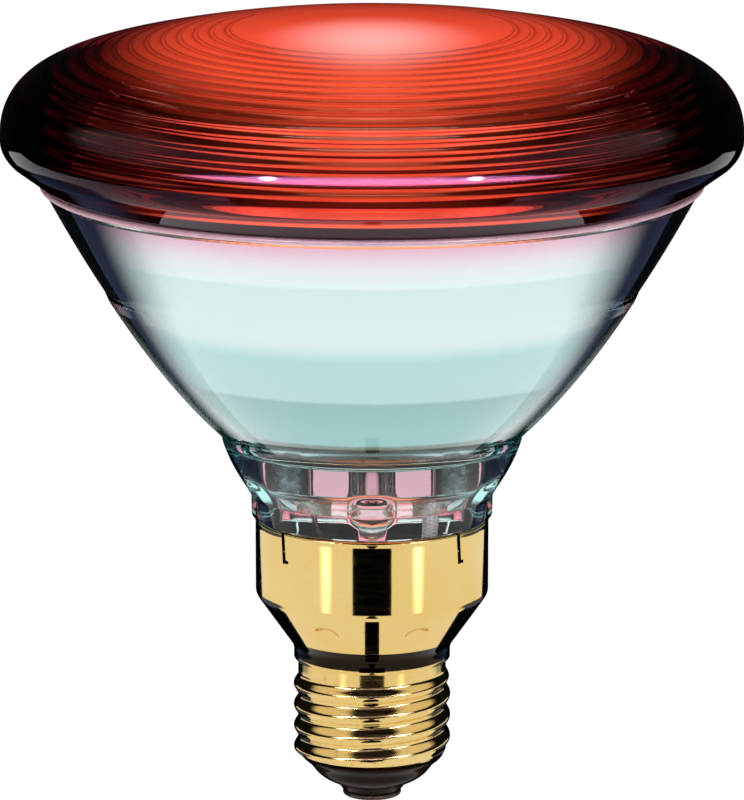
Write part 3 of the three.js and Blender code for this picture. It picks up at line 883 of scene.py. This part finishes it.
def make_bridge():
    """A glass rod with swollen places where it grips the posts."""
    half = (bridge_high.x - bridge_low.x) / 2
    z = (bridge_low.z + bridge_high.z) / 2
    radius = (bridge_high.z - bridge_low.z) / 2
    profile = []
    for x in spread(-half, half, 60):
        swell = sum(math.exp(-(((x - post) / 1.6) ** 2)) for post in (-POST_X, POST_X))
        end = math.sqrt(max(0.0, 1 - (abs(x) / half) ** 12))
        profile.append((radius * (0.78 + 0.22 * min(swell, 1)) * end, x))
    profile[0] = (0, -half)
    profile[-1] = (0, half)
    bm = lathe(profile, SMALL)
    for vert in bm.verts:
        vert.co = Vector((vert.co.z, vert.co.y, z - vert.co.x))
    bridge = finish_mesh("bridge", bm, INNER_GLASS)
    for x in (-POST_X, POST_X):
        drill(bridge, POST_RADIUS + FIT, x, z, depth=8)
    place(bridge, "glass_bridge")


def make_leads():
    """The left wire runs to the centre contact, the right one out through the collar at the back."""
    top = ferrule_high.z - 0.7
    bottom = contact_high.z + 0.2
    side_z = (solder_low.z + solder_high.z) / 2
    centre = [
        (-POST_X, 0, top),
        (-POST_X, 0, 56),
        (-POST_X, 0, 49),
        (-7.6, 0, 40),
        (-1.6, 0, 30),
        (0, 0, 24),
        (0, 0, 20),
        (0, 0, 12),
        (0, 0, 6),
        (0, 0, bottom),
    ]
    side = [
        (POST_X, 0, top),
        (POST_X, 0, 54),
        (POST_X, 0, 44),
        (POST_X, 0, 40),
        (8.8, 2.6, 34),
        (4.4, 7.4, 28.6),
        (0.6, 9.6, 25.6),
        (0, 11, side_z),
        (0, 12.2, side_z),
        (0, 13, side_z),
    ]
    place(wire("lead_centre", centre, LEAD_RADIUS, COPPER), "lead_wire_centre")
    place(wire("lead_side", side, LEAD_RADIUS, COPPER), "lead_wire_side")


def make_sleeve(name, node, x, low, high, material):
    """A short tube between the heights of a CAD node's box."""
    outer = (high.x - low.x) / 2
    bore = outer - SLEEVE_WALL
    foot = [(bore, low.z + 0.1), (bore + 0.1, low.z), (outer - 0.15, low.z), (outer, low.z + 0.15)]
    top = [(outer, high.z - 0.15), (outer - 0.15, high.z), (bore + 0.1, high.z), (bore, high.z - 0.1)]
    place(turned(name, [*foot, *top], material, SMALL, offset=(x, 0, 0)), node)


# ---------------------------------------------------------------------------------------------------------
# Cap


def skirt_wall(depth):
    """One face of the sheet, from the collar's foot up to the bead. depth is 0 for the outer face."""
    rise = math.tan(math.radians(CONE_ANGLE))
    corner = arc((SKIRT_RADIUS - CORNER_ROUND, CORNER_Z), CORNER_ROUND - depth, CONE_ANGLE - 90, 0, 14)
    cone_radius, cone_top = corner[0]
    collar = COLLAR_RADIUS - depth
    cone_foot = cone_top - (cone_radius - collar) * rise
    foot = [(collar, skirt_low.z + 0.15), (collar, BAND[0] - BAND_EDGE), (collar, BAND[0])]
    fillet = bezier(
        (collar, cone_foot - 1.0),
        (collar, cone_foot - 0.3),
        (collar + 0.15, cone_foot + 0.25),
        (collar + 0.55, cone_foot + 0.55 * rise),
        6,
    )
    slope = [(cone_radius - (cone_top - z) / rise, z) for z in spread(BAND[1], cone_top, 26)[:-1]]
    band_top = (slope[0][0] - BAND_EDGE / rise, slope[0][1] - BAND_EDGE)
    wall = SKIRT_RADIUS - depth
    top = skirt_high.z
    groove_wall = wall - 0.015
    groove = bezier(
        (wall, top - 1.8),
        (wall, top - 1.3),
        (groove_wall, top - 1.25),
        (groove_wall, top - 1.0),
        5,
    )
    return [*foot, *fillet, band_top, *slope, *corner, *groove]


def press_dimples(bm):
    """Oval dimples pressed into the cone."""
    lean = math.radians(CONE_ANGLE)
    for vert in bm.verts:
        reach = math.hypot(vert.co.x, vert.co.y)
        angle = math.degrees(math.atan2(vert.co.x, -vert.co.y))
        up = (vert.co.z - DIMPLE_Z) / math.sin(lean) / DIMPLE_HALF[1]
        for middle in DIMPLE_ANGLES:
            across = math.radians(angle - middle) * reach / DIMPLE_HALF[0]
            away = across * across + up * up
            if away < 1.6:
                depth = DIMPLE_DEPTH * math.exp(-(away**2))
                vert.co.x *= 1 - depth * math.sin(lean) / reach
                vert.co.y *= 1 - depth * math.sin(lean) / reach
                vert.co.z += depth * math.cos(lean)


def slit_cutter(angle, width, tall, across):
    """One straight part of a slit, leaning a little. across is how far its middle lies to one side."""
    bm = bmesh.new()
    bmesh.ops.create_cube(bm, size=1)
    bmesh.ops.scale(bm, vec=(4, width, tall), verts=bm.verts)
    bmesh.ops.translate(bm, vec=(0, across, tall / 2), verts=bm.verts)
    bmesh.ops.rotate(bm, matrix=Matrix.Rotation(math.radians(SLIT_LEAN), 3, "X"), verts=bm.verts)
    bmesh.ops.translate(bm, vec=(SKIRT_RADIUS, 0, SLIT_END), verts=bm.verts)
    bmesh.ops.rotate(bm, matrix=Matrix.Rotation(math.radians(angle), 3, "Z"), verts=bm.verts)
    return bm


def make_skirt():
    """A sheet with a bead round its top. Its inner face is near black with painted shade, and the band at the
    collar is dark.
    """
    top = skirt_high.z
    half_wall = SKIRT_WALL / 2
    outside = skirt_wall(0)
    inside = skirt_wall(SKIRT_WALL)
    bead = arc((SKIRT_RADIUS - 0.22, top - 0.3), 0.3, -35, 90, 10)
    lip = arc((COLLAR_RADIUS - half_wall, skirt_low.z + half_wall), half_wall, 180, 360, 8)
    profile = [*lip, *outside[1:], *bead, (SKIRT_RADIUS - SKIRT_WALL - 0.12, top), *reversed(inside[1:])]
    bm = lathe(profile, FINE)
    press_dimples(bm)
    skirt = finish_mesh("skirt", bm, SKIRT_BRASS)
    height = top - SLIT_END + 2
    for angle in SLIT_ANGLES:
        cut(skirt, slit_cutter(angle, SLIT_WIDTH, height, 0))
        cut(skirt, slit_cutter(angle, 1.6 * SLIT_WIDTH, 0.7 * SLIT_WIDTH, 0.4 * SLIT_WIDTH))
    # Painted shade on the skirt's inner face; the band at the collar is marked dark as well
    darkened = []
    for vert in skirt.data.vertices:
        outward = Vector((vert.co.x, vert.co.y, 0)).normalized().dot(vert.normal)
        banded = BAND[0] - 0.01 < vert.co.z / MM < BAND[1] - BAND_EDGE / 2
        darkened.append(1.0 if outward < -0.1 or banded else 0.0)
    mark(skirt, "darkened", darkened)
    place(skirt, "cap_skirt")


def thread_radius(z, angle):
    """Radius of the shell's outer face. The thread fades out below its top."""
    turns = (z - FIRST_CREST) / PITCH - angle / (2 * math.pi)
    wave = 0.5 + 0.5 * math.cos(2 * math.pi * turns)
    return VALLEY + (CREST - VALLEY) * wave**CREST_SHAPE * eased((THREAD_TOP - z) / THREAD_FADE)


def make_shell():
    """A rolled sheet: the bore follows the thread."""
    rows = spread(shell_low.z, THREAD_TOP, 110) + spread(THREAD_TOP, shell_high.z, 8)[1:]
    bm = bmesh.new()
    rings = []
    for depth, edge_share, heights in ((0.0, 1.0, rows), (SHELL_WALL, 0.4, rows[::-1])):
        for z in heights:
            edge = max(0.0, SHELL_EDGE - (z - shell_low.z)) * edge_share
            ring = []
            for i in range(FINE):
                angle = 2 * math.pi * i / FINE
                radius = thread_radius(z, angle) - depth - edge
                ring.append(bm.verts.new((radius * math.cos(angle), radius * math.sin(angle), z)))
            rings.append(ring)
    for low, high in zip(rings, rings[1:] + rings[:1]):
        for i in range(FINE):
            j = (i + 1) % FINE
            bm.faces.new((low[i], low[j], high[j], high[i]))
    bmesh.ops.recalc_face_normals(bm, faces=bm.faces)
    place(finish_mesh("shell", bm, SHELL_BRASS), "screw_shell")


def make_insulator():
    """A dished cone with a narrower plug on top, which stands in the foot of the shell."""
    low, high = insulator_low, insulator_high
    outer = high.x
    face = bezier((5.3, low.z + 0.3), (5.9, 3.0), (8.4, 2.9), INSULATOR_TURN, 12)
    side = bezier(INSULATOR_TURN, (10.7, 6.4), (11.6, 6.8), (outer, INSULATOR_STEP - 0.25), 8)
    step = [(outer - 0.2, INSULATOR_STEP), (PLUG_RADIUS, INSULATOR_STEP)]
    plug = [(PLUG_RADIUS, high.z - 0.3), (PLUG_RADIUS - 0.3, high.z), (4.4, high.z), (WIRE_HOLE, high.z - 3)]
    profile = [(WIRE_HOLE, low.z), (5.0, low.z), *face, *side[1:], *step, *plug]
    place(turned("insulator_glass", profile, DARK_GLASS, MEDIUM), "insulator")


def make_contact():
    """A flat ring with a rounded lower edge."""
    low, high = contact_low, contact_high
    outer = high.x
    edge = arc((outer - 0.45, low.z + 0.45), 0.45, -90, 0, 6)
    top = [(outer, high.z - 0.1), (outer - 0.1, high.z), (EYELET_HOLE, high.z)]
    profile = [(EYELET_HOLE, low.z + 0.1), (EYELET_HOLE + 0.15, low.z), *edge, *top]
    place(turned("contact", profile, CONTACT_METAL, MEDIUM), "centre_contact")


def make_pip():
    """A solder dome with a small flat, the lamp's lowest point."""
    outer = pip_high.x
    edge = bezier((PIP_FLAT, 0), (1.9, 0), (outer, 0.1), (outer, 0.5), 8)
    profile = [(0, 0), *edge, (outer, pip_high.z - 0.1), (outer - 0.1, pip_high.z), (0, pip_high.z)]
    place(turned("pip", profile, SOLDER, SMALL), "contact_solder")


def make_side_solder():
    """A small frozen lump on the collar, rough where it cooled."""
    centre = (solder_low + solder_high) / 2
    half = (solder_high - solder_low) / 2
    nearest = COLLAR_RADIUS + 0.03
    bm = bmesh.new()
    bmesh.ops.create_icosphere(bm, subdivisions=4, radius=1)
    for vert in bm.verts:
        lump = 1 - LUMP_DEPTH + LUMP_DEPTH * noise.noise(vert.co * LUMP_SCALE)
        spot = centre + Vector([share * reach * lump for share, reach in zip(vert.co, half)])
        away = math.hypot(spot.x, spot.y)
        if away < nearest:
            spot.x *= nearest / away
            spot.y *= nearest / away
        vert.co = spot
    place(finish_mesh("solder_lump", bm, SOLDER), "side_solder")


# ---------------------------------------------------------------------------------------------------------
# Studio


def glow_material(name, colour, strength, soft=0.0):
    """Light of one colour and strength. soft fades it out towards the panel's edges."""
    material = bpy.data.materials.new(name)
    material.use_nodes = True
    tree = material.node_tree
    tree.nodes.remove(tree.nodes["Principled BSDF"])
    glow = tree.nodes.new("ShaderNodeEmission")
    glow.inputs["Color"].default_value = (*colour, 1)
    glow.inputs["Strength"].default_value = strength
    surface = glow.outputs[0]
    if soft:
        where = tree.nodes.new("ShaderNodeTexCoord")
        mapping = tree.nodes.new("ShaderNodeMapping")
        mapping.inputs["Location"].default_value = (-1, -1, 0)
        mapping.inputs["Scale"].default_value = (2, 2, 0)
        fade = tree.nodes.new("ShaderNodeTexGradient")
        fade.gradient_type = "SPHERICAL"
        shape = tree.nodes.new("ShaderNodeMapRange")
        shape.interpolation_type = "SMOOTHSTEP"
        shape.inputs["From Max"].default_value = soft
        clear = tree.nodes.new("ShaderNodeBsdfTransparent")
        mix = tree.nodes.new("ShaderNodeMixShader")
        tree.links.new(where.outputs["Generated"], mapping.inputs["Vector"])
        tree.links.new(mapping.outputs["Vector"], fade.inputs["Vector"])
        tree.links.new(fade.outputs["Fac"], shape.inputs["Value"])
        tree.links.new(shape.outputs["Result"], mix.inputs["Fac"])
        tree.links.new(clear.outputs[0], mix.inputs[1])
        tree.links.new(glow.outputs[0], mix.inputs[2])
        surface = mix.outputs[0]
    tree.links.new(surface, tree.nodes["Material Output"].inputs["Surface"])
    return material


def panel(name, centre, size, material, face, seen_by):
    """A flat stage panel that faces one way and that only some kinds of ray meet."""
    width, height = size
    left, right, low, high = -width / 2, width / 2, -height / 2, height / 2
    corners = [(left, low, 0), (right, low, 0), (right, high, 0), (left, high, 0)]
    mesh = bpy.data.meshes.new(name)
    mesh.from_pydata(corners, [], [(0, 1, 2, 3)])
    mesh.materials.append(material)
    obj = bpy.data.objects.new(name, mesh)
    obj.location = centre
    obj.rotation_euler = Vector(face).to_track_quat("Z", "Y").to_euler()
    bpy.context.scene.collection.objects.link(obj)
    obj.visible_camera = "camera" in seen_by
    obj.visible_diffuse = "diffuse" in seen_by
    obj.visible_glossy = "glossy" in seen_by
    obj.visible_transmission = "glass" in seen_by
    obj.visible_shadow = False


def light(name, centre, size, face, seen_by, strength=1.0, colour=WHITE, soft=0.0):
    """A panel that glows."""
    panel(name, centre, size, glow_material(f"{name}_glow", colour, strength, soft), face, seen_by)


def polar(azimuth, distance, z):
    """A place round the lamp; azimuth 0 is in front, 90 to the right."""
    turn = math.radians(azimuth)
    return (distance * math.sin(turn), -distance * math.cos(turn), z)


def inward(spot, up=0):
    """The way from a place to the lamp's axis, level or tilted by up."""
    return (-spot[0], -spot[1], up)


def make_floor():
    """The pale floor in three sheets: for the eye and plain surfaces, for glass, and for reflections."""
    light("floor", (0, 0, FLOOR_Z), (12, 12), UP, ("camera", "diffuse"), 1.05, (0.98, 0.985, 0.99))
    light("floor_under_glass", (0, 0, SHEET_Z), (1.0, 1.0), UP, ("glass",), 0.98, (0.98, 1.0, 1.0), soft=0.5)
    light("floor_under_brass", (0, 0, SHEET_Z), (2.6, 2.6), UP, ("glossy",), 0.95, (0.95, 0.98, 1.0))


def make_cards():
    """Black cards and dim blue sheets that only reflections meet."""
    black = glow_material("black_card", (0, 0, 0), 0)
    seen_by = ("glossy",)
    panel("card_front", polar(0, 0.5, FLOOR_Z + 0.09), (0.34, 0.17), black, BACKWARD, seen_by)
    panel("card_under", (0, -0.0197, 0.008), (0.006, 0.0085), black, UP, seen_by)
    panel("card_stripe", (0, -0.34, CARD_Z), (0.05, 0.30), black, UP, seen_by)
    panel("card_behind", (0, 0.72, CARD_Z), (0.9, 1.16), black, UP, seen_by)
    panel("card_low", (0, -0.12, 0.066), (0.17, 0.068), black, BACKWARD, seen_by)
    for side in (-1, 1):
        spot = polar(side * 163, 0.5, FLOOR_Z + 0.09)
        panel(f"card_back_{side}", spot, (0.34, 0.18), black, inward(spot), seen_by)
        spot = polar(side * 128, 0.44, BLUE_Z)
        light(f"blue_{side}", spot, (0.44, 0.44), UP, seen_by, colour=(0.07, 0.09, 0.19), soft=0.3)


def make_lights():
    """Strips, sparks and sky for reflections, overheads mostly for glass, and a glow behind the neck."""
    for side in (-1, 1):
        spot = polar(side * 45.6, 0.6, -0.09)
        light(f"strip_{side}", spot, (0.17, 0.17), inward(spot), ("glossy",), 2.6, soft=1.0)
        spot = polar(side * 31, 1.25, 0.39)
        light(f"spark_{side}", spot, (0.14, 0.14), inward(spot), ("glossy",), 900.0, soft=1.0)
        spot = polar(side * 72, 0.85, 0.60)
        face = inward(spot, -0.6)
        light(f"sky_{side}", spot, (1.7, 0.8), face, ("glossy",), 0.8, (1.0, 0.95, 0.85), soft=0.5)
        spot = polar(side * 48, 0.95, 0.80)
        light(f"overhead_{side}", spot, (0.9, 0.5), inward(spot, -0.68), ("glass",), 2.5, soft=0.9)
    violet = (0.8, 0.65, 1.0)
    light("front_strip", (0, -1.2, 0.38), (5.0, 0.34), BACKWARD, ("glossy",), 45.0, violet, soft=0.8)
    light("back_veil", (0, 1.2, 0.59), (0.22, 0.60), FORWARD, ("glossy",), 1.5, soft=1.0)
    light("back_low", (0, 0.15, 0.034), (0.16, 0.05), FORWARD, ("glass",), 1.1, (0.9, 1.0, 1.0), soft=0.6)
    light("back_wall", (0, 0.15, 0.092), (0.17, 0.09), FORWARD, ("glass",), 1.5, (1.0, 0.30, 0.38), soft=0.6)
    light("overhead", (0, -0.9, 0.80), (0.9, 0.5), (0, 0.9, -0.68), ("glass", "diffuse"), 2.2, soft=0.9)


def make_studio():
    make_floor()
    make_cards()
    make_lights()


def make_world():
    """White to the camera, nearly black to everything else."""
    world = bpy.data.worlds.new("studio")
    bpy.context.scene.world = world
    world.use_nodes = True
    tree = world.node_tree
    room = tree.nodes["Background"]
    room.inputs["Color"].default_value = (0.004, 0.005, 0.006, 1)
    seen = tree.nodes.new("ShaderNodeBackground")
    seen.inputs["Color"].default_value = (1.0, 1.0, 1.0, 1)
    ray = tree.nodes.new("ShaderNodeLightPath")
    mix = tree.nodes.new("ShaderNodeMixShader")
    tree.links.new(ray.outputs["Is Camera Ray"], mix.inputs["Fac"])
    tree.links.new(room.outputs[0], mix.inputs[1])
    tree.links.new(seen.outputs[0], mix.inputs[2])
    tree.links.new(mix.outputs[0], tree.nodes["World Output"].inputs["Surface"])


def make_camera():
    data = bpy.data.cameras.new("camera")
    data.lens = CAMERA_LENS
    data.sensor_width = CAMERA_SENSOR
    data.sensor_fit = "AUTO"
    data.clip_end = 50
    camera = bpy.data.objects.new("camera", data)
    rise = math.radians(CAMERA_ELEVATION)
    aim = Vector((0, 0, CAMERA_AIM))
    camera.location = aim + Vector((0, -math.cos(rise), math.sin(rise))) * CAMERA_DISTANCE
    camera.rotation_euler = (aim - camera.location).to_track_quat("-Z", "Y").to_euler()
    bpy.context.scene.collection.objects.link(camera)
    bpy.context.scene.camera = camera


def light_paths():
    """Enough bounces for light to get through the nested glass."""
    scene = bpy.context.scene
    scene.view_settings.view_transform = "Standard"
    scene.cycles.max_bounces = 24
    scene.cycles.transmission_bounces = 24
    scene.cycles.glossy_bounces = 12
    scene.cycles.transparent_max_bounces = 12


make_camera()
make_world()
light_paths()
make_studio()
make_lens()
make_seal()
make_bowl()
make_mirror()
make_tip()
make_ferrule("ferrule_left", -POST_X)
make_ferrule("ferrule_right", POST_X)
make_posts()
make_filament()
make_hooks()
make_bridge()
make_leads()
make_sleeve("fuse_tube", "fuse_sleeve", 0, fuse_low, fuse_high, INNER_GLASS)
make_sleeve("woven_tube", "woven_sleeve", POST_X, woven_low, woven_high, BRAID)
make_skirt()
make_shell()
make_insulator()
make_contact()
make_pip()
make_side_solder()
